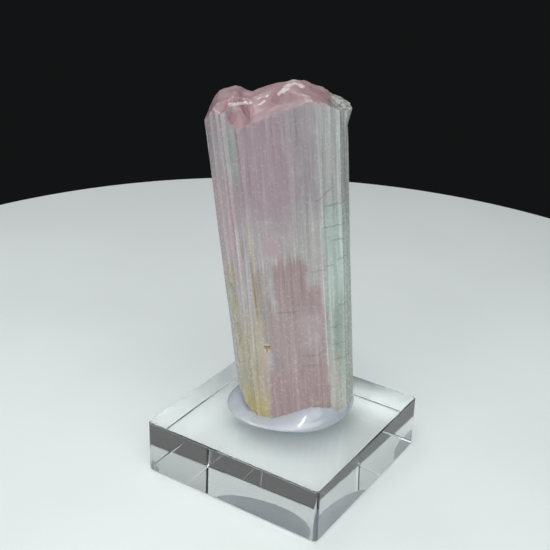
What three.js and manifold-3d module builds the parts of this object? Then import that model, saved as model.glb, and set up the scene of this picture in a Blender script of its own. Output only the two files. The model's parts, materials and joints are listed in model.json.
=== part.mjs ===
// A broken tourmaline crystal, glued upright on a square block of clear acrylic.
//
// Millimetres, +Z up. The origin is the centre of the block's underside, and X
// and Y run along the block's edges. The crystal and the glue are drawn in a
// frame of their own on the block's top face, turned about Z: there x runs
// across the crystal's broad face, y runs deep, away from that face, and z is
// the height above the block.

import * as THREE from 'three';
import { mergeVertices } from 'three/addons/utils/BufferGeometryUtils.js';
import Module from 'manifold-3d';

// The block: a common size of acrylic display base.
const BLOCK_SIDE = 35;
const BLOCK_HEIGHT = 10;
const BLOCK_BEVEL = 0.4;
const BLOCK_CORNER_RADIUS = 0.7;

// How far the crystal's broad face is turned from the block's front, in degrees.
const STAND_TURN = 33;

// The crystal leans and widens upwards, so each long edge is a straight line
// from its place at height 0 to its place at this height.
const HEAD_HEIGHT = 60;

// The long edges in order round the crystal, counter-clockwise from above.
// ribs is the number of growth ribs on the face that follows the edge, relief
// is how deep the grooves between them are, and swell bows that face outwards.
const LONG_EDGES = [
  { name: 'front left', foot: [-2.1, -4.7], head: [-9.8, -4.4], ribs: 8, relief: 0.13, swell: 0.25 },
  { name: 'front right', foot: [7.4, -4.0], head: [3.6, -4.0], ribs: 2, relief: 0.2, swell: 0 },
  { name: 'right shoulder', foot: [10.8, -2.7], head: [6.5, -2.7], ribs: 3, relief: 0.15, swell: 0.15 },
  { name: 'right', foot: [12.3, 1.6], head: [7.9, 1.6], ribs: 3, relief: 0.15, swell: 0.2 },
  { name: 'back right shoulder', foot: [11.2, 5.8], head: [6.9, 5.8], ribs: 3, relief: 0.18, swell: 0.15 },
  { name: 'back right', foot: [7.2, 8.6], head: [3.0, 8.8], ribs: 4, relief: 0.16, swell: 0.2 },
  { name: 'back', foot: [1.2, 9.5], head: [-4.0, 9.9], ribs: 4, relief: 0.16, swell: 0.2 },
  { name: 'back left', foot: [-4.2, 8.4], head: [-10.2, 8.7], ribs: 3, relief: 0.18, swell: 0.15 },
  { name: 'back left shoulder', foot: [-7.3, 5.6], head: [-14.0, 5.8], ribs: 3, relief: 0.15, swell: 0.15 },
  { name: 'left', foot: [-8.2, 2.0], head: [-15.2, 2.0], ribs: 2, relief: 0.2, swell: 0.1 },
  { name: 'left shoulder', foot: [-7.0, -1.4], head: [-14.1, -1.2], ribs: 2, relief: 0.22, swell: 0 },
  { name: 'left fin', foot: [-4.8, -3.5], head: [-12.1, -3.4], ribs: 2, relief: 0.22, swell: 0 },
];

// Across its middle, the prism runs between these two edges.
const FRONT_EDGE = LONG_EDGES.find((edge) => edge.name === 'front left');
const BACK_EDGE = LONG_EDGES.find((edge) => edge.name === 'back right');

// The prism is drawn past both broken ends, in rings this many to its length.
const PRISM_BOTTOM = -2;
const PRISM_TOP = 62;
const PRISM_RINGS = 20;
// How much a rib's height wanders, and over what length of the crystal.
const GROWTH_WANDER = 0.05;
const GROWTH_CELL = 6;
// The shallowest and deepest grooves between ribs, as shares of the relief.
const SHALLOWEST_GROOVE = 0.5;
const DEEPEST_GROOVE = 1.3;
// Sets the scatter of one face's ribs apart from the next one's.
const SEEDS_PER_EDGE = 40;

// The broken top, as heights at places across the crystal: at the front rim,
// along the crest and at the back rim.
const FRONT_RIM = [
  [-15, 52.6], [-13.4, 54.4], [-11.2, 55.1], [-10.2, 56.2], [-8.2, 55.4], [-7.3, 53.9],
  [-4.8, 55.0], [-2.1, 56.3], [2.4, 57.6], [4.3, 56.5], [7.2, 56.4], [9.4, 55.0],
];
const CREST = [
  [-15.3, 51], [-14.4, 52.4], [-12.7, 56.1], [-11.9, 56.8], [-9.3, 57.6], [-8.2, 56.6],
  [-7.0, 56.5], [-6.0, 57.1], [-4.1, 57.8], [-0.3, 58.8], [1.8, 58.6], [3.9, 57.9],
  [4.9, 57.4], [6.1, 56.3], [7.4, 55.9], [9.6, 55.2],
];
const BACK_RIM = [
  [-15, 52], [-12, 55.4], [-9, 56.2], [-6, 55.2], [-2, 56.6], [1, 57.2], [4, 55.8], [9, 53.5],
];
// A riser parts the low ledge at the front from the plateau behind it. It
// stands deeper on the left than on the right, where it meets the rim.
const RISER = [
  [-15, -3.6], [-11, -3.0], [-8, -1.8], [-6, -0.5], [-3.5, -0.8], [-1, -2.6], [1.5, -4.6], [9, -4.6],
];
const RISER_WIDTH = 1.8;
const FRONT_DEPTH = -4.5;
// The ledge and the plateau both rise this much for each millimetre of depth.
const BREAK_SLOPE = 0.05;
const CREST_DEPTH = 4;
const BACK_DEPTH = 10;
const BREAK_CUTTER_STEP = 0.65;
// The area that a cutter covers, and how far past the prism's ends it reaches.
const CUTTER_AREA = [[-18, -8], [15, 13]];
const CUTTER_REACH = 5;
const BREAK_CELL = 1.5;
const BREAK_ROUGHNESS = 0.45;
// The right end of the break is crumbled more than the rest.
const CRUMBLE_START = 4.5;
const CRUMBLE_WIDTH = 2;
const CRUMBLE_ROUGHNESS = 0.9;

// The chipped ridge that is the highest point of the break.
const RIDGE_PLACE = [-0.2, 3.2];
const RIDGE_SPREAD = [2.0, 0.9];
const RIDGE_HEIGHT = 0.45;

// The knob that stands out of the right edge just under the break.
const KNOB_EDGE = 'right';
const KNOB_HEIGHT = 55.2;
const KNOB_SPREAD = 2.4;
const KNOB_SWELL = 1.05;
const KNOB_LINES = 4;

// The broken foot slopes up to the right, and its left corner is snapped off.
const FOOT_TIP = [-5.7, 0.45];
const FOOT_SLOPE = 0.1;
const FOOT_CHAMFER_SLOPE = 1.2;
const FOOT_ROUGHNESS = 0.25;
const FOOT_CELL = 2.2;
const FOOT_CUTTER_STEP = 1.5;

// Chips and hollows: where each one is, its half sizes along x, y and z, and
// how many times its round form is subdivided.
const SCOOPS = [
  { name: 'shell hollow under the left lobe', at: [-8.7, -5.1, 57.6], half: [2.9, 3.4, 4.6], detail: 3 },
  { name: 'chip on the left rim', at: [-12.9, -3.9, 56.2], half: [1.3, 1.3, 1.5], detail: 1 },
  { name: 'chip beside it', at: [-11.1, -4.7, 56.6], half: [0.9, 1.2, 1.7], detail: 1 },
  { name: 'chip on the right rim', at: [6.0, -4.6, 57.0], half: [1.7, 1.5, 1.3], detail: 1 },
  { name: 'rough hollow in the left edge', at: [-9.9, -1.7, 22.3], half: [0.9, 1.3, 3.4], detail: 2 },
  { name: 'rough hollow below it', at: [-8.9, -1.9, 15.6], half: [0.9, 1.1, 3.0], detail: 2 },
  { name: 'worn lower left edge', at: [-7.4, -2.9, 3.6], half: [1.0, 1.3, 3.2], detail: 1 },
];

// The groove beside the front left edge, where two growths meet: its ends on
// that edge, its half width and its depth.
const GROOVE_TOP = 39;
const GROOVE_BOTTOM = 12;
const GROOVE_HALF_WIDTH = 0.75;
const GROOVE_DEPTH = 0.8;
const GROOVE_SHIFT = -0.5;

// The small three-sided pit in the broad face, its point down.
const PIT_PLACE = [-3.5, -4.0, 14.9];
const PIT_RADIUS = 0.75;
const PIT_DEPTH = 1.2;
const PIT_STRETCH = 1.4;

// The glue: a flat puddle, higher where it climbs the right of the foot.
const GLUE_CENTRE = [0.8, 2.2];
const GLUE_HALF_WIDTH = 11.8;
const GLUE_HALF_DEPTH = 10.5;
const GLUE_SIDES = 60;
// How far its rim wavers in and out, and the turn of the wave from side to side.
const GLUE_WAVER = 0.15;
const GLUE_WAVE = 0.42;
const GLUE_RIM = [[-12, 0.6], [-5, 0.5], [2, 1.0], [8, 1.6], [13, 1.8]];
const GLUE_CROWN = [[-12, 0.9], [-6, 0.8], [-3, 1.0], [-1, 1.8], [2, 3.0], [3.7, 3.9], [8, 4.6], [13, 4.6]];
// Its section from the middle of the underside, round the rolled rim, to the
// middle of the top: the radius as a share of the rim's, and the height, where
// 0 to 1 climbs the rim and 1 to 2 climbs from the rim to the crown.
const GLUE_SECTION = [
  [0, 0], [0.5, 0], [0.955, 0], [0.985, 0.2], [1, 0.5], [0.99, 0.78], [0.965, 0.98], [0.93, 1.18],
  [0.87, 1.42], [0.8, 1.6], [0.72, 1.75], [0.62, 1.86], [0.5, 1.93], [0.3, 1.98], [0, 2],
];
// Room between the crystal's foot and the pocket that it stands in.
const POCKET_GAP = 0.3;

const wasm = await Module();
wasm.setup();

// A repeatable scatter between 0 and 1 for a whole number.
function scatter(number) {
  let bits = Math.imul(number + 7, 0x9e3779b1);
  bits = Math.imul(bits ^ (bits >>> 15), 0x85ebca6b);
  bits ^= bits >>> 13;
  return (bits >>> 0) / 0x100000000;
}

function mix(a, b, share) {
  return a + (b - a) * share;
}

function smooth(share) {
  const t = THREE.MathUtils.clamp(share, 0, 1);
  return t * t * (3 - 2 * t);
}

// The value at x of a chain of straight lines through [x, value] points.
function along(points, x) {
  let index = 1;
  while (index < points.length - 1 && points[index][0] < x) {
    index += 1;
  }
  const [x0, value0] = points[index - 1];
  const [x1, value1] = points[index];
  return mix(value0, value1, THREE.MathUtils.clamp((x - x0) / (x1 - x0), 0, 1));
}

// Unevenness between -1 and 1 over a square lattice.
function uneven(x, y, cell, seed) {
  const u = x / cell;
  const v = y / cell;
  const column = Math.floor(u);
  const row = Math.floor(v);
  const corner = (i, j) => scatter((column + i) * 131 + (row + j) * 7919 + seed * 104729);
  const near = mix(corner(0, 0), corner(1, 0), u - column);
  const far = mix(corner(0, 1), corner(1, 1), u - column);
  return mix(near, far, v - row) * 2 - 1;
}

// A bump that is 1 at 0 and fades to 0 at 1.
function fade(distance) {
  return 1 - smooth(Math.abs(distance));
}

function solidFrom(geometry) {
  const bare = geometry.clone();
  bare.deleteAttribute('normal');
  bare.deleteAttribute('uv');
  const merged = mergeVertices(bare, 1e-4);
  const mesh = new wasm.Mesh({
    numProp: 3,
    vertProperties: new Float32Array(merged.attributes.position.array),
    triVerts: new Uint32Array(merged.index.array),
  });
  return new wasm.Manifold(mesh);
}

function geometryFrom(solid) {
  const mesh = solid.getMesh();
  const geometry = new THREE.BufferGeometry();
  geometry.setAttribute('position', new THREE.BufferAttribute(new Float32Array(mesh.vertProperties), 3));
  geometry.setIndex(new THREE.BufferAttribute(new Uint32Array(mesh.triVerts), 1));
  geometry.computeVertexNormals();
  return geometry;
}

// Moves each vertex of a geometry to where place(x, y, z) puts it.
function reshape(geometry, place) {
  const position = geometry.attributes.position;
  for (let i = 0; i < position.count; i += 1) {
    const [x, y, z] = place(position.getX(i), position.getY(i), position.getZ(i));
    position.setXYZ(i, x, y, z);
  }
  return geometry;
}

function largestOf(solid) {
  const bodies = solid.decompose();
  bodies.sort((a, b) => b.volume() - a.volume());
  return bodies[0];
}

// Where a long edge stands at a height.
function edgeAt(edge, height) {
  const share = height / HEAD_HEIGHT;
  return [mix(edge.foot[0], edge.head[0], share), mix(edge.foot[1], edge.head[1], share)];
}

// The lines that run up the crystal: each long edge, and the crests and
// grooves of the ribs between it and the next one.
function growthLines() {
  const lines = [];
  LONG_EDGES.forEach((edge, index) => {
    const steps = edge.ribs * 2;
    for (let step = 0; step < steps; step += 1) {
      const seed = index * SEEDS_PER_EDGE + step;
      const jitter = step === 0 ? 0 : (scatter(seed) - 0.5) * 0.5;
      const share = (step + jitter) / steps;
      const depth = edge.relief * mix(SHALLOWEST_GROOVE, DEEPEST_GROOVE, scatter(seed + 11));
      const groove = step % 2 === 1 ? depth : 0;
      const swell = edge.swell * 4 * share * (1 - share);
      lines.push({ index, share, out: swell - groove, seed, name: step === 0 ? edge.name : '' });
    }
  });
  const knobLine = lines.findIndex((line) => line.name === KNOB_EDGE);
  lines.forEach((line, number) => {
    line.knob = KNOB_SWELL * fade((number - knobLine) / KNOB_LINES);
  });
  return lines;
}

const LINES = growthLines();

// The point of a growth line at a height, moved outwards by grow.
function linePoint(line, height, grow) {
  const edge = LONG_EDGES[line.index];
  const next = LONG_EDGES[(line.index + 1) % LONG_EDGES.length];
  const [x0, y0] = edgeAt(edge, height);
  const [x1, y1] = edgeAt(next, height);
  const length = Math.hypot(x1 - x0, y1 - y0);
  const knob = line.knob * fade((height - KNOB_HEIGHT) / KNOB_SPREAD);
  const wander = GROWTH_WANDER * uneven(height, line.seed * 9, GROWTH_CELL, 3);
  const out = line.out + knob + wander + grow;
  return [
    mix(x0, x1, line.share) + ((y1 - y0) / length) * out,
    mix(y0, y1, line.share) - ((x1 - x0) / length) * out,
  ];
}

// The ribbed prism before its ends are broken, from a cylinder whose sides
// follow the growth lines.
function ribbedPrism(grow) {
  const length = PRISM_TOP - PRISM_BOTTOM;
  const cylinder = new THREE.CylinderGeometry(1, 1, length, LINES.length, PRISM_RINGS);
  reshape(cylinder, (x, y, z) => {
    const height = y + length / 2 + PRISM_BOTTOM;
    if (Math.hypot(x, z) < 0.5) {
      const [cx, cy] = edgeAt(FRONT_EDGE, height);
      const [ox, oy] = edgeAt(BACK_EDGE, height);
      return [(cx + ox) / 2, (cy + oy) / 2, height];
    }
    const turn = Math.atan2(x, z) / (2 * Math.PI);
    const number = (Math.round(turn * LINES.length) + LINES.length) % LINES.length;
    const [px, py] = linePoint(LINES[number], height, grow);
    return [px, py, height];
  });
  return solidFrom(cylinder);
}

// A block whose face towards the crystal is a broken surface. The block is
// above the surface for the top and below it for the foot.
function breakCutter(heightAt, farHeight, cell) {
  const [low, high] = CUTTER_AREA;
  const wide = high[0] - low[0];
  const deep = high[1] - low[1];
  const above = farHeight > heightAt(0, 0);
  const block = new THREE.BoxGeometry(wide, deep, 2, Math.round(wide / cell), Math.round(deep / cell), 1);
  reshape(block, (x, y, z) => {
    const px = x + (low[0] + high[0]) / 2;
    const py = y + (low[1] + high[1]) / 2;
    const broken = above ? z < 0 : z > 0;
    return [px, py, broken ? heightAt(px, py) : farHeight];
  });
  return solidFrom(block);
}

// The height of the broken top at a place.
function topHeight(x, y) {
  const ledge = along(FRONT_RIM, x) + BREAK_SLOPE * (y - FRONT_DEPTH);
  const crest = along(CREST, x);
  const plateau = crest - BREAK_SLOPE * Math.max(0, CREST_DEPTH - y);
  const back = mix(crest, along(BACK_RIM, x), smooth((y - CREST_DEPTH) / (BACK_DEPTH - CREST_DEPTH)));
  const riser = smooth((y - along(RISER, x)) / RISER_WIDTH);
  const rise = y < CREST_DEPTH ? mix(ledge, plateau, riser) : back;
  const crumble = smooth((x - CRUMBLE_START) / CRUMBLE_WIDTH);
  const rough = mix(BREAK_ROUGHNESS, CRUMBLE_ROUGHNESS, crumble);
  const across = (x - RIDGE_PLACE[0]) / RIDGE_SPREAD[0];
  const deep = (y - RIDGE_PLACE[1]) / RIDGE_SPREAD[1];
  const ridge = RIDGE_HEIGHT * fade(Math.hypot(across, deep));
  return rise + ridge + (rough / 2) * uneven(x, y, BREAK_CELL, 1);
}

// The height of the broken foot at a place.
function footHeight(x, y) {
  const [tipX, tipZ] = FOOT_TIP;
  const slope = x > tipX ? FOOT_SLOPE * (x - tipX) : FOOT_CHAMFER_SLOPE * (tipX - x);
  return tipZ + slope + FOOT_ROUGHNESS * Math.max(0, uneven(x, y, FOOT_CELL, 2));
}

function scoop({ at, half, detail }, index) {
  const round = new THREE.IcosahedronGeometry(1, detail);
  round.rotateZ(index);
  round.scale(half[0], half[1], half[2]);
  round.translate(at[0], at[1], at[2]);
  return solidFrom(round);
}

// A long eight-faced splinter laid along the front left edge cuts the groove.
function groove() {
  const [topX, topY] = edgeAt(FRONT_EDGE, GROOVE_TOP);
  const [bottomX] = edgeAt(FRONT_EDGE, GROOVE_BOTTOM);
  const half = (GROOVE_TOP - GROOVE_BOTTOM) / 2;
  const lean = (topX - bottomX) / (GROOVE_TOP - GROOVE_BOTTOM);
  const middle = (topX + bottomX) / 2 + GROOVE_SHIFT;
  const splinter = new THREE.OctahedronGeometry(1);
  reshape(splinter, (x, y, z) => [
    middle + x * GROOVE_HALF_WIDTH + z * half * lean,
    topY + y * GROOVE_DEPTH,
    (GROOVE_TOP + GROOVE_BOTTOM) / 2 + z * half,
  ]);
  return solidFrom(splinter);
}

function pit() {
  const wedge = new THREE.CylinderGeometry(PIT_RADIUS / 3, PIT_RADIUS, PIT_DEPTH, 3);
  wedge.rotateY(Math.PI);
  wedge.scale(1, 1, PIT_STRETCH);
  wedge.translate(PIT_PLACE[0], PIT_PLACE[1], PIT_PLACE[2]);
  return solidFrom(wedge);
}

function crystalSolid() {
  let solid = ribbedPrism(0);
  solid = solid.subtract(breakCutter(topHeight, PRISM_TOP + CUTTER_REACH, BREAK_CUTTER_STEP));
  solid = solid.subtract(breakCutter(footHeight, PRISM_BOTTOM - CUTTER_REACH, FOOT_CUTTER_STEP));
  SCOOPS.forEach((hollow, index) => {
    solid = solid.subtract(scoop(hollow, index));
  });
  solid = solid.subtract(groove());
  solid = solid.subtract(pit());
  return largestOf(solid);
}

// The space that the crystal's foot takes up in the glue, with its gap.
function footPocket() {
  const lower = (x, y) => footHeight(x, y) - POCKET_GAP;
  return ribbedPrism(POCKET_GAP).subtract(breakCutter(lower, PRISM_BOTTOM - CUTTER_REACH, FOOT_CUTTER_STEP));
}

function glueSolid() {
  const profile = GLUE_SECTION.map(([radius, rise]) => new THREE.Vector2(radius, rise));
  const lathe = new THREE.LatheGeometry(profile, GLUE_SIDES);
  reshape(lathe, (x, y, z) => {
    const angle = Math.atan2(x, z);
    const number = Math.round((angle / (2 * Math.PI)) * GLUE_SIDES);
    const waver = 1 + (GLUE_WAVER / GLUE_HALF_DEPTH) * Math.sin(number * GLUE_WAVE) * Math.hypot(x, z);
    const px = GLUE_CENTRE[0] + x * GLUE_HALF_WIDTH * waver;
    const py = GLUE_CENTRE[1] - z * GLUE_HALF_DEPTH * waver;
    const rim = along(GLUE_RIM, px);
    const crown = along(GLUE_CROWN, px);
    return [px, py, y <= 1 ? y * rim : mix(rim, crown, y - 1)];
  });
  return largestOf(solidFrom(lathe).subtract(footPocket()));
}

// The block, from a square with small round corners and a bevel all round its
// top and bottom faces.
function blockGeometry() {
  const half = BLOCK_SIDE / 2 - BLOCK_BEVEL;
  const radius = BLOCK_CORNER_RADIUS;
  const square = new THREE.Shape();
  square.absarc(half - radius, -half + radius, radius, -Math.PI / 2, 0, false);
  square.absarc(half - radius, half - radius, radius, 0, Math.PI / 2, false);
  square.absarc(-half + radius, half - radius, radius, Math.PI / 2, Math.PI, false);
  square.absarc(-half + radius, -half + radius, radius, Math.PI, Math.PI * 1.5, false);
  const block = new THREE.ExtrudeGeometry(square, {
    depth: BLOCK_HEIGHT - 2 * BLOCK_BEVEL,
    bevelEnabled: true,
    bevelSize: BLOCK_BEVEL,
    bevelThickness: BLOCK_BEVEL,
    bevelSegments: 2,
    curveSegments: 4,
  });
  block.translate(0, 0, BLOCK_BEVEL);
  return block;
}

const TOURMALINE = new THREE.MeshStandardMaterial({ color: 0xb39aa3, roughness: 0.3, metalness: 0 });
const GLUE = new THREE.MeshStandardMaterial({ color: 0xc3cbd2, roughness: 0.12, metalness: 0 });
const ACRYLIC = new THREE.MeshStandardMaterial({
  color: 0xe6eeec,
  roughness: 0.05,
  metalness: 0,
  transparent: true,
  opacity: 0.4,
});

function named(name, geometry, material) {
  const mesh = new THREE.Mesh(geometry, material);
  mesh.name = name;
  return mesh;
}

const onBlock = new THREE.Group();
onBlock.position.z = BLOCK_HEIGHT;
onBlock.rotation.z = THREE.MathUtils.degToRad(STAND_TURN);
onBlock.add(named('crystal', geometryFrom(crystalSolid()), TOURMALINE));
onBlock.add(named('glue', geometryFrom(glueSolid()), GLUE));

const part = new THREE.Group();
part.add(named('acrylic_block', blockGeometry(), ACRYLIC));
part.add(onBlock);

export default part;
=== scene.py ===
"""A broken pink and green tourmaline crystal, glued upright on a clear acrylic block.

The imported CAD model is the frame: the crystal, the glue and the block are where it
says. Each operator finishes one of them, and one more sets the floor, lights and camera.
"""

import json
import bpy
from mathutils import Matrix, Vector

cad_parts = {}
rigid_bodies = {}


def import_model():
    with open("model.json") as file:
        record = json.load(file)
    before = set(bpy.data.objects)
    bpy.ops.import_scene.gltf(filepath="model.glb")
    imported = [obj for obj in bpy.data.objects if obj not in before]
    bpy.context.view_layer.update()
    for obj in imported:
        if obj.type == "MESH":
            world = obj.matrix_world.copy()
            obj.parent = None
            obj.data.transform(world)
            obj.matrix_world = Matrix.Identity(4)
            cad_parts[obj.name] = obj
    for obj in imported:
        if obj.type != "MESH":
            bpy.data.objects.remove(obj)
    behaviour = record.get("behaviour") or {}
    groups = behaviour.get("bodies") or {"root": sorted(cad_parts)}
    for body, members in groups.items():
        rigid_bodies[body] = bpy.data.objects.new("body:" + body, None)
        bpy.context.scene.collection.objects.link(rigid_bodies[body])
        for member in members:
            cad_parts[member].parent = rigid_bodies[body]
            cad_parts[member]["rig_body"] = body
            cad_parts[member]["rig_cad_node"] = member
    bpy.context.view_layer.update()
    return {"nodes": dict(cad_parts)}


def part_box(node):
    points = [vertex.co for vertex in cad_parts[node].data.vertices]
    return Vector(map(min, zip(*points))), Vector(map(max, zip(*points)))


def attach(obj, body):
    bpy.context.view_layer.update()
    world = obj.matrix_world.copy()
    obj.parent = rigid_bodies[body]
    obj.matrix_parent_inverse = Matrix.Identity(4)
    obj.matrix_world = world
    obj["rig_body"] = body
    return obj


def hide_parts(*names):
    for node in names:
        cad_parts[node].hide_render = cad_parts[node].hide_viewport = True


bl_info = {
    "name": "Mounted tourmaline crystal",
    "version": (1, 0, 0),
    "blender": (4, 5, 0),
    "location": "3D View > Sidebar > Tourmaline",
    "description": "Finishes the crystal, its glue and its acrylic block around the CAD frame",
    "category": "Object",
}

from math import cos, radians, sin

import bmesh
import bpy
import numpy as np
from bpy.props import FloatProperty, FloatVectorProperty, PointerProperty
from mathutils import Matrix, Vector
from mathutils.bvhtree import BVHTree

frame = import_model()

MM = 0.001
BODY = "root"
# Corners of a CAD node's triangles that lie this close are one corner.
SAME_CORNER = 0.002 * MM

# The crystal's own frame: it stands on the block's top face, turned about Z. Its depths
# grow away from the viewer, and are below zero at the front.
BLOCK_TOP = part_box("acrylic_block")[1].z
STAND_TURN = radians(33.0)
# Its long edges drift to the left by this much for each millimetre of height.
LEAN = 0.095
# Where the middle of its broad face stands at the block's top, in millimetres.
FACE_MIDDLE = 2.0

# Heights over the block's top in millimetres: the break lies above the first, its colour
# comes in over the next two, and above the last the mesh cells shrink to the share given.
BREAK_START = 49.0
BREAK_COLOUR_RISE = (48.0, 51.0)
FINE_MESH_START = 52.0
FINE_MESH_SHARE = 0.6

# How much the ends of a level edge may differ in height, in metres.
LEVEL_WITHIN = 1e-6

# Glue this near to the crystal's foot is its wall, which goes a little way into the foot,
# so that no gap shows. What is this close above its underside is pressed flat.
WALL_REACH = 0.5 * MM
WALL_SINK = 0.15 * MM
UNDERSIDE = 0.12 * MM

# The camera: where it stands, which way it looks and how far it is tipped over.
CAMERA_PLACE = Vector((80.9, -129.5, 108.0)) * MM
CAMERA_AZIMUTH = radians(32.93)
CAMERA_ELEVATION = radians(25.09)
CAMERA_ROLL = radians(1.44)
SENSOR_WIDTH = 36.0
NEAREST_SEEN = 0.01

# The pale round floor, which ends behind the block.
FLOOR_MIDDLE = Vector((-17.0, 21.0, 0.0)) * MM
FLOOR_GAP = 0.03 * MM
FLOOR_THICKNESS = 8.0 * MM
FLOOR_RIM = 1.0 * MM

# The soft lights: the setting with the power of each, where it is, what it faces, its
# width and height in millimetres, and its colour.
LIGHTS = (
    ("overhead", (-20, -70, 450), (0, 0, 20), (600, 420), (1.0, 1.0, 0.99)),
    ("front", (202, -310, 270), (0, 0, 30), (760, 320), (0.97, 1.0, 1.0)),
    ("lamp", (-60, -60, 430), (0, 0, 10), (520, 30), (1.0, 1.0, 1.0)),
)
# How steeply a direction rises, as a sine, where the dark room turns into its ceiling.
CEILING_RISE = (0.3, 0.5)


class StageSettings(bpy.types.PropertyGroup):
    """The floor, the lights and the camera."""

    lens: FloatProperty(
        name="Lens", description="Focal length of the camera", default=65.5, unit="CAMERA"
    )
    floor_radius: FloatProperty(
        name="Floor radius", description="Radius of the pale floor", default=0.1256, unit="LENGTH"
    )
    floor_colour: FloatVectorProperty(
        name="Floor colour",
        description="Colour of the pale floor",
        subtype="COLOR",
        default=(0.745, 0.80, 0.795),
    )
    backdrop: FloatVectorProperty(
        name="Backdrop",
        description="Colour of the dark room",
        subtype="COLOR",
        default=(0.0065, 0.007, 0.0072),
    )
    ceiling: FloatVectorProperty(
        name="Ceiling",
        description="Colour of the dim room overhead",
        subtype="COLOR",
        default=(0.105, 0.105, 0.105),
    )
    overhead: FloatProperty(
        name="Overhead light", description="Power of the overhead light", default=1.3, unit="POWER"
    )
    front: FloatProperty(
        name="Front light", description="Power of the light over the camera", default=1.8, unit="POWER"
    )
    lamp: FloatProperty(
        name="Lamp", description="Power of the long narrow lamp", default=0.35, unit="POWER"
    )


class BlockSettings(bpy.types.PropertyGroup):
    """The clear acrylic block."""

    edge: FloatProperty(
        name="Edge", description="Reach of the polished edges", default=0.0003, unit="LENGTH"
    )
    corner: FloatProperty(
        name="Corner", description="Radius of the upright corners", default=0.0007, unit="LENGTH"
    )
    ior: FloatProperty(name="IOR", description="How strongly acrylic bends light", default=1.49)
    tint: FloatVectorProperty(
        name="Tint",
        description="Colour left in light that crosses the block",
        subtype="COLOR",
        default=(0.80, 0.92, 0.90),
    )
    depth: FloatProperty(
        name="Tint density", description="How fast the tint builds up, per metre", default=2.5
    )


class GlueSettings(bpy.types.PropertyGroup):
    """The milky puddle of glue."""

    colour: FloatVectorProperty(
        name="Colour",
        description="Colour of the milky glue",
        subtype="COLOR",
        default=(0.60, 0.65, 0.72),
    )
    sink: FloatProperty(
        name="Sink", description="How far the glue wets into the block", default=0.00012, unit="LENGTH"
    )
    cell: FloatProperty(
        name="Mesh cell", description="Size of the glue's mesh cells", default=0.0003, unit="LENGTH"
    )


class CrystalSettings(bpy.types.PropertyGroup):
    """The tourmaline crystal."""

    cell: FloatProperty(
        name="Mesh cell",
        description="Longest edge of the crystal's mesh",
        default=0.00045,
        unit="LENGTH",
    )
    ribs: FloatProperty(
        name="Growth lines",
        description="Depth of the fine growth lines",
        default=0.00010,
        unit="LENGTH",
    )
    rough: FloatProperty(
        name="Break relief",
        description="Depth of the grain on the breaks",
        default=0.00018,
        unit="LENGTH",
    )
    ledge: FloatProperty(
        name="Ledges",
        description="Height of the small ledges on the break",
        default=0.00008,
        unit="LENGTH",
    )
    body: FloatVectorProperty(
        name="Body",
        description="Milky pink body of the crystal",
        subtype="COLOR",
        default=(0.46, 0.43, 0.44),
    )


def deselect():
    """Leaves edit mode and selects nothing."""
    if bpy.context.object and bpy.context.object.mode != "OBJECT":
        bpy.ops.object.mode_set(mode="OBJECT")
    bpy.ops.object.select_all(action="DESELECT")


def pick(piece):
    """Makes one object the only selected one, and the active one."""
    deselect()
    piece.select_set(True)
    bpy.context.view_layer.objects.active = piece


def modify(piece, kind, **settings):
    """Adds a modifier to a piece and applies it."""
    pick(piece)
    modifier = piece.modifiers.new(kind.lower(), kind)
    for name, value in settings.items():
        setattr(modifier, name, value)
    bpy.ops.object.modifier_apply(modifier=modifier.name)


def settle(piece):
    """Puts a piece's place into its mesh, so that its object sits at the origin."""
    pick(piece)
    bpy.ops.object.transform_apply(location=True, rotation=True, scale=True)


def copy_of_node(node, name):
    """A merged copy of a CAD node, as the start of the piece that stands for it."""
    pick(frame["nodes"][node])
    bpy.ops.object.duplicate()
    piece = bpy.context.object
    piece.name = name
    piece.data.name = name
    piece.parent = None
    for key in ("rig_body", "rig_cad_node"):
        if key in piece:
            del piece[key]
    piece.data.materials.clear()
    bpy.ops.object.mode_set(mode="EDIT")
    bpy.ops.mesh.select_all(action="SELECT")
    bpy.ops.mesh.remove_doubles(threshold=SAME_CORNER)
    bpy.ops.mesh.normals_make_consistent(inside=False)
    bpy.ops.object.mode_set(mode="OBJECT")
    if piece.data.has_custom_normals:
        bpy.ops.mesh.customdata_custom_splitnormals_clear()
    return piece


def refine(piece, longest, above=-1.0):
    """Halves the edges that are too long and reach above a height, until none is left."""
    pick(piece)
    bpy.ops.object.mode_set(mode="EDIT")
    bpy.ops.mesh.select_mode(type="EDGE")
    while True:
        bpy.ops.mesh.select_all(action="DESELECT")
        mesh = bmesh.from_edit_mesh(piece.data)
        long_edges = [
            edge
            for edge in mesh.edges
            if edge.calc_length() > longest and max(end.co.z for end in edge.verts) > above
        ]
        if not long_edges:
            break
        for edge in long_edges:
            edge.select_set(True)
        bmesh.update_edit_mesh(piece.data)
        bpy.ops.mesh.subdivide(number_cuts=1)
        bpy.ops.mesh.select_all(action="SELECT")
        bpy.ops.mesh.quads_convert_to_tris(quad_method="SHORTEST_DIAGONAL")
    bpy.ops.object.mode_set(mode="OBJECT")


def finish_piece(piece, node, material, angle):
    """Dresses a piece and hands it to the frame in place of its CAD node."""
    pick(piece)
    bpy.ops.object.shade_smooth_by_angle(angle=angle)
    piece.data.materials.clear()
    piece.data.materials.append(material)
    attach(piece, BODY)
    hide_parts(node)


def put(tree, value, socket):
    """Gives a socket a plain value, or links it to another node's output."""
    if isinstance(value, bpy.types.NodeSocket):
        tree.links.new(value, socket)
    else:
        socket.default_value = value


def fill(tree, node, inputs):
    """Gives several inputs of a node their values or links."""
    for name, value in inputs.items():
        put(tree, value, node.inputs[name])


def add(tree, kind, settings=None, **inputs):
    """Adds a node. An underscore in the name of an input stands for a space."""
    made = tree.nodes.new(kind)
    for name, value in (settings or {}).items():
        setattr(made, name, value)
    fill(tree, made, {name.replace("_", " "): value for name, value in inputs.items()})
    return made


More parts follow.
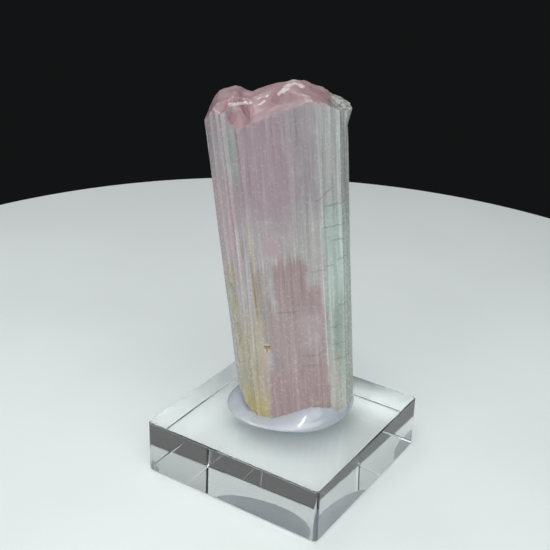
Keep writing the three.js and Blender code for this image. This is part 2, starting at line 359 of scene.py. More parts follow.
def compute(tree, operation, first, second=0.0, third=0.0):
    """One step of arithmetic."""
    made = tree.nodes.new("ShaderNodeMath")
    made.operation = operation
    for socket, value in zip(made.inputs, (first, second, third)):
        put(tree, value, socket)
    return made.outputs[0]


def product(tree, value, *factors):
    """A value times each of its factors."""
    for factor in factors:
        value = compute(tree, "MULTIPLY", value, factor)
    return value


def sway(tree, value, pattern, reach, middle=0.5):
    """A value that a pattern moves up and down from its middle, over a reach."""
    return compute(tree, "MULTIPLY_ADD", compute(tree, "SUBTRACT", pattern, middle), reach, value)


def ramp(tree, value, low, high, out_low=0.0, out_high=1.0):
    """A smooth step of a value from low to high. It falls where low is the greater one."""
    made = tree.nodes.new("ShaderNodeMapRange")
    made.interpolation_type = "SMOOTHSTEP"
    for socket, setting in zip(made.inputs, (value, low, high, out_low, out_high)):
        put(tree, setting, socket)
    return made.outputs[0]


def blend(tree, share, first, second, mode="MIX"):
    """Two colours mixed, where share 0 is the first."""
    made = tree.nodes.new("ShaderNodeMix")
    made.data_type = "RGBA"
    made.blend_type = mode
    made.clamp_factor = True
    for number, value in ((0, share), (6, first), (7, second)):
        put(tree, value, made.inputs[number])
    return made.outputs[2]


def noise(tree, place, scale, detail, roughness):
    """A cloudy pattern from 0 to 1."""
    made = add(
        tree, "ShaderNodeTexNoise", Vector=place, Scale=scale, Detail=detail, Roughness=roughness
    )
    return made.outputs["Fac"]


def object_place(tree):
    """Where a point of the piece is, in metres."""
    return add(tree, "ShaderNodeTexCoord").outputs["Object"]


def drawn_out(tree, place, share):
    """Places with only a share of their height, so that a pattern is drawn out along it."""
    return add(tree, "ShaderNodeMapping", Vector=place, Scale=(1.0, 1.0, share)).outputs[0]


def stored(tree, name):
    """A number that the mesh holds for each vertex."""
    return add(tree, "ShaderNodeAttribute", {"attribute_name": name}).outputs["Fac"]


def solid_colour(colour):
    """A colour with full alpha."""
    return (*colour, 1.0)


def new_material(name):
    """A material with an untouched Principled surface."""
    material = bpy.data.materials.new(name)
    material.use_nodes = True
    tree = material.node_tree
    tree.nodes.clear()
    surface = tree.nodes.new("ShaderNodeBsdfPrincipled")
    output = tree.nodes.new("ShaderNodeOutputMaterial")
    tree.links.new(surface.outputs[0], output.inputs["Surface"])
    return material, tree, surface, output


def new_group(name, inputs, outputs):
    """An empty shader node group: number inputs with their defaults, outputs with their kinds."""
    group = bpy.data.node_groups.new(name, "ShaderNodeTree")
    for label, default in inputs.items():
        socket = group.interface.new_socket(
            name=label, in_out="INPUT", socket_type="NodeSocketFloat"
        )
        socket.default_value = default
    for label, kind in outputs.items():
        group.interface.new_socket(name=label, in_out="OUTPUT", socket_type=f"NodeSocket{kind}")
    return group, group.nodes.new("NodeGroupInput").outputs, group.nodes.new("NodeGroupOutput")


def use_group(tree, build, **inputs):
    """Places a node group with its own inputs. The group is built the first time."""
    name = build.__name__
    group = bpy.data.node_groups.get(name) or build(name)
    return add(tree, "ShaderNodeGroup", {"node_tree": group}, **inputs)


def growth_frame(name):
    """Places in millimetres in the crystal's own frame, with the lean taken out."""
    outputs = {"Across": "Float", "Deep": "Float", "Height": "Float", "Place": "Vector"}
    group, _, result = new_group(name, {}, outputs)
    turned = add(
        group,
        "ShaderNodeMapping",
        Vector=object_place(group),
        Location=(-FACE_MIDDLE, 0.0, -BLOCK_TOP / MM),
        Rotation=(0.0, 0.0, -STAND_TURN),
        Scale=(1 / MM, 1 / MM, 1 / MM),
    )
    leaning, deep, height = add(group, "ShaderNodeSeparateXYZ", Vector=turned.outputs[0]).outputs
    across = compute(group, "MULTIPLY_ADD", height, LEAN, leaning)
    place = add(group, "ShaderNodeCombineXYZ", X=across, Y=deep, Z=height).outputs[0]
    fill(group, result, {"Across": across, "Deep": deep, "Height": height, "Place": place})
    return group


def growth_zone(name):
    """A mask that is 1 between four limits and fades out over their soft edges."""
    values = {"Across": 0.0, "Height": 0.0}
    limits = {"Left": -1.0, "Right": 1.0, "Bottom": 0.0, "Top": 10.0}
    softness = {"Soft Across": 0.5, "Soft Along": 2.0}
    group, given, result = new_group(name, {**values, **limits, **softness}, {"Mask": "Float"})
    walls = (
        ("Across", "Left", "Soft Across", 1.0),
        ("Across", "Right", "Soft Across", -1.0),
        ("Height", "Bottom", "Soft Along", 1.0),
        ("Height", "Top", "Soft Along", -1.0),
    )
    mask = 1.0
    for value, wall, soft, sign in walls:
        inside = product(group, compute(group, "SUBTRACT", given[value], given[wall]), sign)
        share = compute(group, "DIVIDE", inside, given[soft])
        mask = product(group, mask, ramp(group, share, -1.0, 1.0))
    fill(group, result, {"Mask": mask})
    return group


def handling_marks(name):
    """Smears and dust on a polished face: a roughness and a normal."""
    inputs = {"Polish": 0.02, "Wear": 0.06, "Depth": 0.1}
    group, given, result = new_group(name, inputs, {"Roughness": "Float", "Normal": "Vector"})
    place = object_place(group)
    smears = noise(group, place, scale=90.0, detail=3.0, roughness=0.6)
    specks = noise(group, place, scale=1400.0, detail=2.0, roughness=0.5)
    wear = product(group, ramp(group, smears, 0.45, 0.75), given["Wear"])
    dust = product(group, ramp(group, specks, 0.68, 0.78), given["Wear"])
    rough = compute(group, "ADD", compute(group, "ADD", wear, dust), given["Polish"])
    bump = add(
        group, "ShaderNodeBump", Strength=given["Depth"], Distance=0.02 * MM, Height=smears
    )
    fill(group, result, {"Roughness": rough, "Normal": bump.outputs[0]})
    return group


def acrylic_material(settings):
    """Clear acrylic: plain glass values, a faint tint, and a polish that handling has touched."""
    material, tree, surface, output = new_material("clear_acrylic")
    marks = use_group(tree, handling_marks, Polish=0.0, Wear=0.03, Depth=0.05).outputs
    finish = {
        "Base Color": (1.0, 1.0, 1.0, 1.0),
        "Roughness": marks["Roughness"],
        "Normal": marks["Normal"],
        "Transmission Weight": 1.0,
        "IOR": settings.ior,
    }
    fill(tree, surface, finish)
    tint = tree.nodes.new("ShaderNodeVolumeAbsorption")
    fill(tree, tint, {"Color": solid_colour(settings.tint), "Density": settings.depth})
    fill(tree, output, {"Volume": tint.outputs[0]})
    return material


def glue_material(settings):
    """Milky, glossy set glue: faint clouds in it, and ripples under its wet surface."""
    material, tree, surface, _ = new_material("milky_glue")
    place = object_place(tree)
    cloud = noise(tree, place, scale=260.0, detail=3.0, roughness=0.55)
    thick = solid_colour(settings.colour)
    milk = blend(tree, ramp(tree, cloud, 0.3, 0.7), thick, (0.68, 0.72, 0.78, 1.0))
    marks = use_group(tree, handling_marks, Polish=0.03, Wear=0.03, Depth=0.2).outputs
    turned = (0.0, 0.0, -STAND_TURN)
    wide = add(
        tree, "ShaderNodeMapping", Vector=place, Rotation=turned, Scale=(0.35, 1.0, 1.0)
    )
    ripples = noise(tree, wide.outputs[0], scale=900.0, detail=1.0, roughness=0.4)
    swell = add(
        tree,
        "ShaderNodeBump",
        Strength=1.0,
        Distance=0.03 * MM,
        Height=ripples,
        Normal=marks["Normal"],
    )
    finish = {
        "Base Color": milk,
        "Roughness": marks["Roughness"],
        "Normal": swell.outputs[0],
        "Transmission Weight": 0.35,
        "IOR": 1.5,
        "Subsurface Weight": 0.6,
        "Subsurface Radius": (1.0, 1.0, 1.2),
        "Subsurface Scale": 1.2 * MM,
        "Coat Weight": 1.0,
        "Coat Roughness": 0.02,
    }
    fill(tree, surface, finish)
    return material


# The colour zones of the crystal, laid one over the other in this order. Each has its
# left, right, bottom and top in millimetres, how soft its edges are across and along,
# how much of its colour it gives, and the side it is on: every side, or the front only.
ZONES = (
    ("mauve head", (-8.0, 3.0, 38.0, 62.0), (1.6, 4.0), 0.95, "all", (0.42, 0.335, 0.37)),
    ("pale mauve head", (1.5, 6.6, 36.0, 62.0), (1.6, 4.0), 0.9, "all", (0.40, 0.365, 0.385)),
    ("left head", (-14.0, -7.8, 45.0, 62.0), (0.6, 4.0), 0.8, "all", (0.54, 0.47, 0.50)),
    # Painted light: the grey of the right head is lifted for facets that turn away from the lamps.
    ("lit grey right head", (6.4, 15.0, 38.0, 62.0), (0.9, 3.0), 0.95, "all", (0.48, 0.49, 0.48)),
    ("neutral window", (2.0, 6.6, 29.5, 40.0), (1.0, 2.5), 0.8, "all", (0.48, 0.47, 0.465)),
    ("mint side", (6.6, 15.0, 12.0, 40.0), (0.7, 1.6), 0.95, "all", (0.43, 0.52, 0.475)),
    ("mint low", (6.6, 15.0, 9.0, 23.0), (0.7, 3.0), 0.9, "all", (0.345, 0.405, 0.36)),
    ("mint head", (6.6, 15.0, 25.0, 40.0), (0.7, 4.0), 0.9, "all", (0.51, 0.595, 0.56)),
    ("grey green foot", (8.0, 15.0, -2.0, 12.5), (0.7, 1.6), 0.95, "all", (0.395, 0.445, 0.385)),
    ("cream foot", (5.8, 8.2, -2.0, 12.5), (0.5, 1.6), 0.9, "all", (0.485, 0.47, 0.43)),
    # Painted light: the right edge is lightened because its facets turn away from the lamps.
    ("lit right edge", (9.7, 15.0, 10.0, 62.0), (0.3, 4.0), 0.5, "all", (0.62, 0.65, 0.63)),
    ("mint streak", (-7.9, -6.4, 44.0, 54.0), (0.8, 3.0), 0.75, "front", (0.40, 0.48, 0.445)),
    ("pink left side", (-13.0, -7.4, 24.0, 45.0), (0.6, 4.0), 0.85, "all", (0.53, 0.41, 0.44)),
    ("rose body", (-3.6, 6.0, -2.0, 22.5), (0.6, 1.4), 0.95, "front", (0.39, 0.30, 0.305)),
    ("rose foot", (-4.2, 5.6, -2.0, 10.5), (0.6, 2.0), 0.9, "front", (0.39, 0.285, 0.293)),
    ("rose patch", (-2.0, 3.4, 22.0, 31.0), (0.5, 1.2), 0.95, "front", (0.37, 0.275, 0.282)),
    ("rose corner", (2.4, 5.8, 22.0, 26.5), (0.7, 1.2), 0.9, "front", (0.38, 0.28, 0.29)),
    ("pink light", (2.0, 5.4, 15.0, 21.8), (0.9, 1.4), 0.8, "front", (0.48, 0.395, 0.41)),
    ("pink spot", (-3.4, -0.9, 32.2, 35.4), (0.9, 1.4), 0.75, "front", (0.53, 0.38, 0.42)),
    ("milky column", (-5.0, -3.0, 15.5, 29.5), (0.5, 1.6), 0.9, "front", (0.37, 0.325, 0.305)),
    ("mauve patch", (-3.4, -1.7, 10.8, 13.6), (0.4, 0.6), 0.7, "front", (0.36, 0.29, 0.32)),
    ("ochre haze", (-12.0, -4.6, -2.0, 20.0), (0.8, 6.0), 0.8, "front", (0.47, 0.415, 0.295)),
    ("peach foot", (-5.8, -4.0, 3.5, 11.5), (0.4, 1.4), 0.7, "front", (0.50, 0.39, 0.35)),
    ("ochre foot", (-12.0, -4.2, -2.0, 5.5), (0.6, 2.4), 0.8, "front", (0.54, 0.455, 0.24)),
    ("ochre core", (-10.0, -5.0, -2.0, 2.4), (0.7, 1.4), 0.7, "front", (0.48, 0.40, 0.16)),
    ("olive crust", (-11.0, -8.7, 14.0, 29.0), (0.4, 2.0), 0.8, "front", (0.38, 0.36, 0.22)),
    ("orange seam", (-4.7, -4.2, 7.2, 11.0), (0.3, 1.0), 0.4, "front", (0.52, 0.38, 0.24)),
    ("orange spot", (4.5, 5.4, 8.4, 9.6), (0.3, 0.4), 0.5, "front", (0.52, 0.33, 0.25)),
    ("olive spot", (9.6, 10.6, 6.4, 8.4), (0.3, 0.4), 0.6, "front", (0.38, 0.36, 0.22)),
)

# Straight lines that run up the crystal: stains in its grooves, and pale lines along its
# edges, which are painted highlights where the edges catch the light. Each has its place
# across, its bottom and top, its width, strength and colour.
LONG_LINES = (
    ("groove stain", -5.3, (16.0, 36.0), 0.70, 0.6, (0.52, 0.46, 0.33)),
    ("groove core", -5.45, (22.0, 31.0), 0.18, 0.6, (0.40, 0.29, 0.14)),
    ("peach strip", -4.9, (10.0, 20.0), 0.60, 0.6, (0.62, 0.53, 0.45)),
    # From here on, the lines are painted highlights on the crystal's edges.
    ("front edge highlight", 6.1, (11.0, 38.0), 0.14, 0.8, (0.72, 0.75, 0.73)),
    ("second edge highlight", 7.1, (10.0, 39.0), 0.12, 0.6, (0.72, 0.75, 0.73)),
    ("upper edge highlight", 6.5, (38.0, 56.0), 0.12, 0.5, (0.62, 0.64, 0.63)),
    ("left pale line", -6.4, (12.0, 32.0), 0.30, 0.7, (0.66, 0.62, 0.60)),
    ("left pale line 2", -7.6, (17.0, 36.0), 0.26, 0.7, (0.68, 0.68, 0.68)),
    ("left pale line 3", -8.5, (36.0, 55.0), 0.22, 0.6, (0.62, 0.60, 0.61)),
    ("left pale line 4", -9.6, (40.0, 52.0), 0.20, 0.5, (0.60, 0.58, 0.59)),
    ("middle pale line", -2.4, (36.0, 50.0), 0.20, 0.3, (0.56, 0.54, 0.55)),
    ("right pale line", 9.4, (14.0, 52.0), 0.12, 0.6, (0.66, 0.72, 0.69)),
)
# How far the long lines fade at their ends, in millimetres.
LINE_FADE = 2.0

# The ochre stain in the small pit, made pale so that it paints light over the pit's own shade,
# and the deep pink hollow of the break, which has depths in place of heights. Each has its
# limits, softness, strength and colour.
PIT_STAIN_AND_LIGHT = ((-4.55, -3.75, 14.2, 15.6), (0.15, 0.25), 0.85, (0.74, 0.61, 0.39))
DEEP_HOLLOW = ((-7.8, -3.4, -5.2, -0.3), (0.5, 0.5), 0.9, (0.29, 0.168, 0.19))

# Fine changes of tone on the sides. Each has the pattern that drives it, the values of the
# pattern over which it comes in, its strength, and the tint that the colour is multiplied by.
TONES = (
    ("bands", (0.48, 0.68), 0.75, (1.16, 1.17, 1.16)),
    ("stripes", (0.52, 0.72), 0.75, (1.28, 1.30, 1.29)),
    ("stripes", (0.46, 0.28), 0.9, (0.82, 0.78, 0.80)),
    ("clouds", (0.5, 0.72), 0.9, (1.10, 1.10, 1.10)),
)
# How much of its height a pattern on the sides keeps: the zones' fibres, and the fine relief.
FIBRE_SHARE = 0.035
RELIEF_SHARE = 0.02

# How far the zones' edges wander, across and along.
ZONE_WANDER = (2.4, 6.0)
# The depths over which comes in what is only at the front: zones and lines, and partings.
ZONE_FRONT = (0.5, -1.5)
PARTING_FRONT = (1.0, -1.0)

# The mottled crust low on the left side: the places across and the heights over which it
# comes in, its strength and its colour.
CRUST = ((-8.2, -9.2), (31.0, 27.0), 0.5, (0.62, 0.60, 0.44))

# The colours of the break, where a pair is mixed by a pattern.
BREAK_PINKS = ((0.31, 0.195, 0.21), (0.335, 0.235, 0.25))
CRUMB_GREYS = ((0.18, 0.18, 0.175), (0.37, 0.37, 0.36))
FRONT_LEDGE_PINK = (0.38, 0.285, 0.295)
# The pale of chips on the proud edges, and of the painted highlight along them.
CHIP_AND_HIGHLIGHT_COLOUR = (0.62, 0.57, 0.57)
# The white of the ledges, partly a painted highlight on their crests.
WHITE_LEDGE_COLOUR = (0.66, 0.59, 0.59)

# The inner edge of the break's front ledge: how deep it lies at the middle of the face, how
# much deeper it gets for each millimetre to the right, and how soft it is. The ledge comes
# in over the first pair of places across, and the grey crumbs over the second.
FRONT_LEDGE_DEPTH = -1.15
FRONT_LEDGE_SLOPE = -0.445
FRONT_LEDGE_SOFTNESS = 0.25
FRONT_LEDGE_RISE = (-3.9, -2.9)
CRUMB_RISE = (7.6, 9.8)

# The white ledges of the broken top, as chains of places across, deep and high in the
# crystal's frame. Each has its half width, and how white it is. Their white is partly
# painted highlight along the ledges' crests.
LEDGES = (
    (((-10.1, -2.3, 56.3), (-8.9, -1.5, 56.2), (-7.7, -0.3, 56.2), (-6.9, 0.1, 56.1)), 0.26, 0.95),
    (((-11.4, -0.1, 56.6), (-9.4, -0.9, 57.2), (-7.4, 1.1, 56.5)), 0.26, 0.55),
    (((-10.4, -1.2, 56.5), (-8.6, -0.9, 56.8)), 0.30, 0.45),
    (((-5.9, 0.8, 56.5), (-4.3, 0.6, 57.1)), 0.20, 0.6),
    (((-6.6, 0.0, 55.4), (-5.5, 0.2, 55.7), (-4.9, 0.3, 56.3)), 0.20, 0.6),
    (((-2.6, -0.2, 57.6), (-2.0, -0.4, 58.0), (-1.6, 0.2, 58.5)), 0.34, 0.9),
    (
        ((-1.6, 0.2, 58.5), (-1.2, 1.6, 58.6), (-0.3, 2.0, 58.8), (0.5, 1.7, 58.9), (0.8, 1.1, 58.6)),
        0.70,
        0.85,
    ),
    (((-12.9, -1.7, 54.8), (-12.7, -1.7, 53.8)), 0.32, 0.5),
)

# How far from its middle a ledge's white ends, in half widths. It fades over the last one.
LEDGE_END = 1.6

# Thin dark partings across the crystal: the left and right ends, and the height at each.
PARTINGS = (
    (5.4, 41.2, 8.7, 43.9),
    (6.9, 40.5, 10.6, 40.8),
    (6.7, 36.9, 10.4, 37.1),
    (7.4, 34.4, 10.0, 34.6),
    (3.9, 29.1, 6.6, 29.5),
    (6.5, 30.0, 8.0, 30.2),
    (8.6, 31.0, 10.6, 31.3),
    (8.5, 22.6, 10.4, 22.7),
    (6.8, 18.6, 9.0, 18.8),
    (6.9, 15.3, 10.6, 15.6),
    (6.8, 12.3, 9.8, 12.6),
    (-2.3, 21.6, 2.0, 22.1),
    (1.6, 13.5, 5.0, 13.6),
    (1.6, 11.5, 4.9, 11.7),
)
# How far they wave up and down, the distances over which they come in from above and below,
# and how far their ends fade outwards and inwards.
PARTING_WAVE = 0.7
PARTING_RISE = (0.20, 0.03)
PARTING_ENDS = (0.2, 0.3)
PARTING_COLOUR = (0.20, 0.20, 0.20)


def zone_mask(tree, label, across, height, limits, soft):
    """The mask of one zone, whose limits are its left, right, bottom and top."""
    left, right, bottom, top = limits
    soft_across, soft_along = soft
    zone = use_group(
        tree,
        growth_zone,
        Across=across,
        Height=height,
        Left=left,
        Right=right,
        Bottom=bottom,
        Top=top,
        Soft_Across=soft_across,
        Soft_Along=soft_along,
    )
    zone.label = label
    return zone.outputs["Mask"]


def side_colour(tree, growth, settings):
    """The colour of the crystal's sides: zones, some lightened as painted light, stains, long lines
    with painted edge highlights, fine tones and a crust.
    """
    across = growth["Across"]
    height = growth["Height"]
    place = growth["Place"]
    fibres = drawn_out(tree, place, FIBRE_SHARE)
    ragged = noise(tree, fibres, scale=1.5, detail=3.0, roughness=0.6)
    drift = noise(tree, place, scale=0.35, detail=3.0, roughness=0.55)
    wander_across, wander_along = ZONE_WANDER
    wavy_across = sway(tree, across, drift, wander_across)
    wavy_height = sway(tree, height, ragged, wander_along)
    front = ramp(tree, growth["Deep"], *ZONE_FRONT)
    colour = solid_colour(settings.body)
    for label, limits, soft, strength, side, tone in ZONES:
        mask = zone_mask(tree, label, wavy_across, wavy_height, limits, soft)
        mask = product(tree, mask, strength)
        if side == "front":
            mask = product(tree, mask, front)
        colour = blend(tree, mask, colour, solid_colour(tone))

    # The pit's ochre stain is made pale: partly real stain, partly painted light that lifts the shade
    # in the pit.
    limits, soft, strength, tone = PIT_STAIN_AND_LIGHT
    pit = zone_mask(tree, "pit stain and painted light", across, height, limits, soft)
    colour = blend(tree, product(tree, pit, strength), colour, solid_colour(tone))
    for label, middle, (bottom, top), width, strength, tone in LONG_LINES:
        half = width / 2
        limits = (middle - half, middle + half, bottom, top)
        mask = zone_mask(tree, label, across, wavy_height, limits, (half, LINE_FADE))
        colour = blend(tree, product(tree, mask, strength, front), colour, solid_colour(tone))

    patterns = {
        "bands": noise(tree, fibres, scale=0.9, detail=2.0, roughness=0.5),
        "stripes": noise(tree, fibres, scale=3.0, detail=3.0, roughness=0.6),
        "clouds": noise(tree, place, scale=0.5, detail=3.0, roughness=0.6),
    }
    for pattern, (start, full), strength, tint in TONES:
        share = ramp(tree, patterns[pattern], start, full, out_high=strength)
        colour = blend(tree, share, colour, solid_colour(tint), "MULTIPLY")

    crust_across, crust_height, strength, tone = CRUST
    patches = ramp(tree, noise(tree, place, scale=1.8, detail=3.0, roughness=0.6), 0.45, 0.60)
    left_foot = product(
        tree, ramp(tree, across, *crust_across), ramp(tree, height, *crust_height)
    )
    crust = product(tree, patches, left_foot, strength)
    return blend(tree, crust, colour, solid_colour(tone))


def parting_mask(tree, growth):
    """The thin partings across the front of the crystal, a little wavy."""
    across = growth["Across"]
    jitter = noise(tree, growth["Place"], scale=2.0, detail=2.0, roughness=0.5)
    outwards, inwards = PARTING_ENDS
    mask = 0.0
    for left, left_height, right, right_height in PARTINGS:
        slope = (right_height - left_height) / (right - left)
        along = compute(tree, "SUBTRACT", across, left)
        line = compute(tree, "MULTIPLY_ADD", along, slope, left_height)
        above = compute(tree, "SUBTRACT", growth["Height"], line)
        gap = compute(tree, "ABSOLUTE", sway(tree, above, jitter, PARTING_WAVE))
        start = ramp(tree, across, left - outwards, left + inwards)
        end = ramp(tree, across, right + outwards, right - inwards)
        parting = product(tree, ramp(tree, gap, *PARTING_RISE), product(tree, start, end))
        mask = compute(tree, "MAXIMUM", mask, parting)
    return product(tree, mask, ramp(tree, growth["Deep"], *PARTING_FRONT))


def break_colour(tree, growth, grain):
    """The broken top: pinks, a paler front ledge, a deep hollow and grey crumbs at the right."""
    across = growth["Across"]
    deep = growth["Deep"]
    deep_pink, pale_pink = BREAK_PINKS
    flush = noise(tree, growth["Place"], scale=0.3, detail=2.0, roughness=0.5)
    pinks = ramp(tree, flush, 0.40, 0.62)
    colour = blend(tree, pinks, solid_colour(deep_pink), solid_colour(pale_pink))

    before = compute(tree, "SUBTRACT", FRONT_LEDGE_DEPTH, deep)
    before = compute(tree, "MULTIPLY_ADD", across, FRONT_LEDGE_SLOPE, before)
    ledge = ramp(tree, before, -FRONT_LEDGE_SOFTNESS, FRONT_LEDGE_SOFTNESS)
    ledge = product(tree, ledge, ramp(tree, across, *FRONT_LEDGE_RISE))
    colour = blend(tree, product(tree, ledge, 0.8), colour, solid_colour(FRONT_LEDGE_PINK))

    limits, soft, strength, tone = DEEP_HOLLOW
    hollow = zone_mask(tree, "deep pink hollow", across, deep, limits, soft)
    colour = blend(tree, product(tree, hollow, strength), colour, solid_colour(tone))

    dark_grey, pale_grey = CRUMB_GREYS
    greys = ramp(tree, grain, 0.4, 0.6)
    crumbs = blend(tree, greys, solid_colour(dark_grey), solid_colour(pale_grey))
    return blend(tree, ramp(tree, across, *CRUMB_RISE), colour, crumbs)


def pale_edges(tree, growth, grain, colour):
    """Lays the proud edges, chips with a painted highlight, and the white ledges, partly painted
    highlight, over the crystal's colour.
    """
    # Proud edges are lightened: partly real chips, partly a painted highlight where the edges catch
    # the light.
    chip_and_highlight = product(tree, ramp(tree, stored(tree, "proud"), 0.3, 0.9), ramp(tree, grain, 0.45, 0.6))
    colour = blend(tree, product(tree, chip_and_highlight, 0.35), colour, solid_colour(CHIP_AND_HIGHLIGHT_COLOUR))
    # The ledges' white is partly a painted highlight along their crests.
    ledge = stored(tree, "ledge")
    tears = noise(tree, growth["Place"], scale=1.5, detail=4.0, roughness=0.7)
    torn = ramp(tree, sway(tree, ledge, tears, 2.2, middle=0.52), 0.30, 0.75)
    flecks = ramp(tree, grain, 0.36, 0.58, out_low=0.6, out_high=0.95)
    white = product(tree, torn, flecks, ramp(tree, ledge, 0.02, 0.2))
    return blend(tree, white, colour, solid_colour(WHITE_LEDGE_COLOUR))


def crystal_material(settings):
    """Milky see-through tourmaline: zoned sides, partings and a pink, grained broken top."""
    material, tree, surface, _ = new_material("zoned_tourmaline")
    growth = use_group(tree, growth_frame).outputs
    place = growth["Place"]
    broken = stored(tree, "broken")
    parting = parting_mask(tree, growth)
    grain = noise(tree, place, scale=1.6, detail=4.0, roughness=0.6)

    colour = side_colour(tree, growth, settings)
    colour = blend(tree, product(tree, parting, 0.5), colour, solid_colour(PARTING_COLOUR))
    top = product(tree, broken, ramp(tree, growth["Height"], *BREAK_COLOUR_RISE))
    colour = blend(tree, top, colour, break_colour(tree, growth, grain))
    colour = pale_edges(tree, growth, grain, colour)

    rough = ramp(tree, grain, 0.3, 0.7, out_low=0.18, out_high=0.30)
    rough = compute(tree, "MULTIPLY_ADD", broken, 0.30, rough)

    fine = drawn_out(tree, place, RELIEF_SHARE)
    lines = noise(tree, fine, scale=1.8, detail=2.0, roughness=0.5)
    pits = noise(tree, place, scale=2.5, detail=2.0, roughness=0.5)
    relief = compute(tree, "MULTIPLY_ADD", pits, product(tree, broken, 0.5), lines)
    relief = compute(tree, "MULTIPLY_ADD", parting, -0.8, relief)
    bump = add(tree, "ShaderNodeBump", Strength=0.5, Distance=0.05 * MM, Height=relief)

    finish = {
        "Base Color": colour,
        "Roughness": rough,
        "Normal": bump.outputs[0],
        "Transmission Weight": 0.06,
        "IOR": 1.63,
        "Subsurface Weight": 0.3,
        "Subsurface Radius": (1.0, 0.75, 0.8),
        "Subsurface Scale": 2.5 * MM,
    }
    fill(tree, surface, finish)
    return material


def floor_material(settings):
    """A pale painted floor with a soft sheen and faint dust."""
    material, tree, surface, _ = new_material("pale_floor")
    haze = noise(tree, object_place(tree), scale=25.0, detail=3.0, roughness=0.5)
    pale = solid_colour(settings.floor_colour)
    dusty = solid_colour([0.97 * value for value in settings.floor_colour])
    finish = {
        "Base Color": blend(tree, ramp(tree, haze, 0.35, 0.65), pale, dusty),
        "Roughness": 0.5,
        "Specular IOR Level": 0.15,
    }
    fill(tree, surface, finish)
    return material


def set_attribute(mesh, name, values):
    """Stores one number for each vertex, for a material or a vertex group to read."""
    layer = mesh.attributes.new(name, "FLOAT", "POINT")
    layer.data.foreach_set("value", np.asarray(values, np.float32))


def mesh_arrays(mesh):
    """The places and normals of a mesh's vertices in the crystal's frame, and its edges."""
    count = len(mesh.vertices)
    places = np.zeros(count * 3, np.float32)
    normals = np.zeros(count * 3, np.float32)
    edges = np.zeros(len(mesh.edges) * 2, np.int32)
    mesh.vertices.foreach_get("co", places)
    mesh.vertex_normals.foreach_get("vector", normals)
    mesh.edges.foreach_get("vertices", edges)
    back = np.array(Matrix.Rotation(-STAND_TURN, 3, "Z"))
    places = places.reshape(-1, 3) @ back.T / MM - np.array([0.0, 0.0, BLOCK_TOP / MM])
    return places, normals.reshape(-1, 3) @ back.T, edges.reshape(-1, 2)


def neighbour_mean(values, edges):
    """The mean of each vertex's neighbours."""
    total = np.zeros(values.shape)
    degree = np.zeros(len(values))
    for a, b in ((0, 1), (1, 0)):
        np.add.at(total, edges[:, a], values[edges[:, b]])
        np.add.at(degree, edges[:, a], 1)
    return total / np.maximum(degree, 1).reshape(-1, *([1] * (values.ndim - 1)))


def smoothed(values, edges, rounds):
    """Values averaged over their neighbours, round after round."""
    for _ in range(rounds):
        values = neighbour_mean(values, edges)
    return values


def rise(values, start, width):
    """0 up to a start, 1 past a width beyond it, and even in between."""
    return np.clip((values - start) / width, 0, 1)


def ledge_whiteness(places):
    """How white each place is, by how near it lies to the ledges of the broken top."""
    whiteness = np.zeros(len(places))
    for chain, half, white in LEDGES:
        for start, end in zip(chain, chain[1:]):
            start, reach = np.array(start), np.array(end) - np.array(start)
            share = np.clip((places - start) @ reach / (reach @ reach), 0, 1)
            away = np.linalg.norm(places - start - share[:, None] * reach, axis=1)
            whiteness = np.maximum(whiteness, white * np.clip(LEDGE_END - away / half, 0, 1))
    return whiteness


def mark_crystal(piece):
    """Stores where the crystal is broken, where edges stand proud, and the ledges and grain."""
    places, normals, edges = mesh_arrays(piece.data)
    axis = np.array([-LEAN, 0.0, 1.0]) / np.hypot(LEAN, 1.0)
    endwise = np.abs(normals @ axis)
    broken = rise(endwise, start=0.22, width=0.2) * (places[:, 2] > BREAK_START)
    for _ in range(4):
        broken = 0.4 * broken + 0.6 * neighbour_mean(broken, edges)
    near = smoothed(places, edges, rounds=3)
    far = smoothed(near, edges, rounds=14)
    standing_out = np.einsum("ij,ij->i", near - far, normals)
    across = places[:, 0] + LEAN * places[:, 2] - FACE_MIDDLE
    crumbled = rise(across, start=6.0, width=3.0)
    set_attribute(piece.data, "broken", broken)
    set_attribute(piece.data, "proud", rise(standing_out, start=0.03, width=0.12))
    set_attribute(piece.data, "ledge", ledge_whiteness(places))
    set_attribute(piece.data, "grain", broken * (0.3 + 0.7 * crumbled))


def relief_texture(name, **settings):
    """A cloudy texture for a displacement."""
    texture = bpy.data.textures.new(name, "CLOUDS")
    for key, value in settings.items():
        setattr(texture, key, value)
    return texture


def texture_frame(name, scale):
    """An empty that stretches a texture along the crystal's growth, by millimetres."""
    bpy.ops.object.empty_add(location=(0.0, 0.0, BLOCK_TOP))
    holder = bpy.context.object
    holder.name = name
    holder.rotation_euler = (0.0, -LEAN, STAND_TURN)
    holder.scale = [value * MM for value in scale]
    bpy.context.view_layer.update()
    return holder


def emboss(piece, texture, holder, **settings):
    """Moves a piece's surface in and out by a texture, which an empty holds in place."""
    modify(
        piece,
        "DISPLACE",
        texture=texture,
        texture_coords="OBJECT",
        texture_coords_object=holder,
        **settings,
    )
    bpy.data.objects.remove(holder)


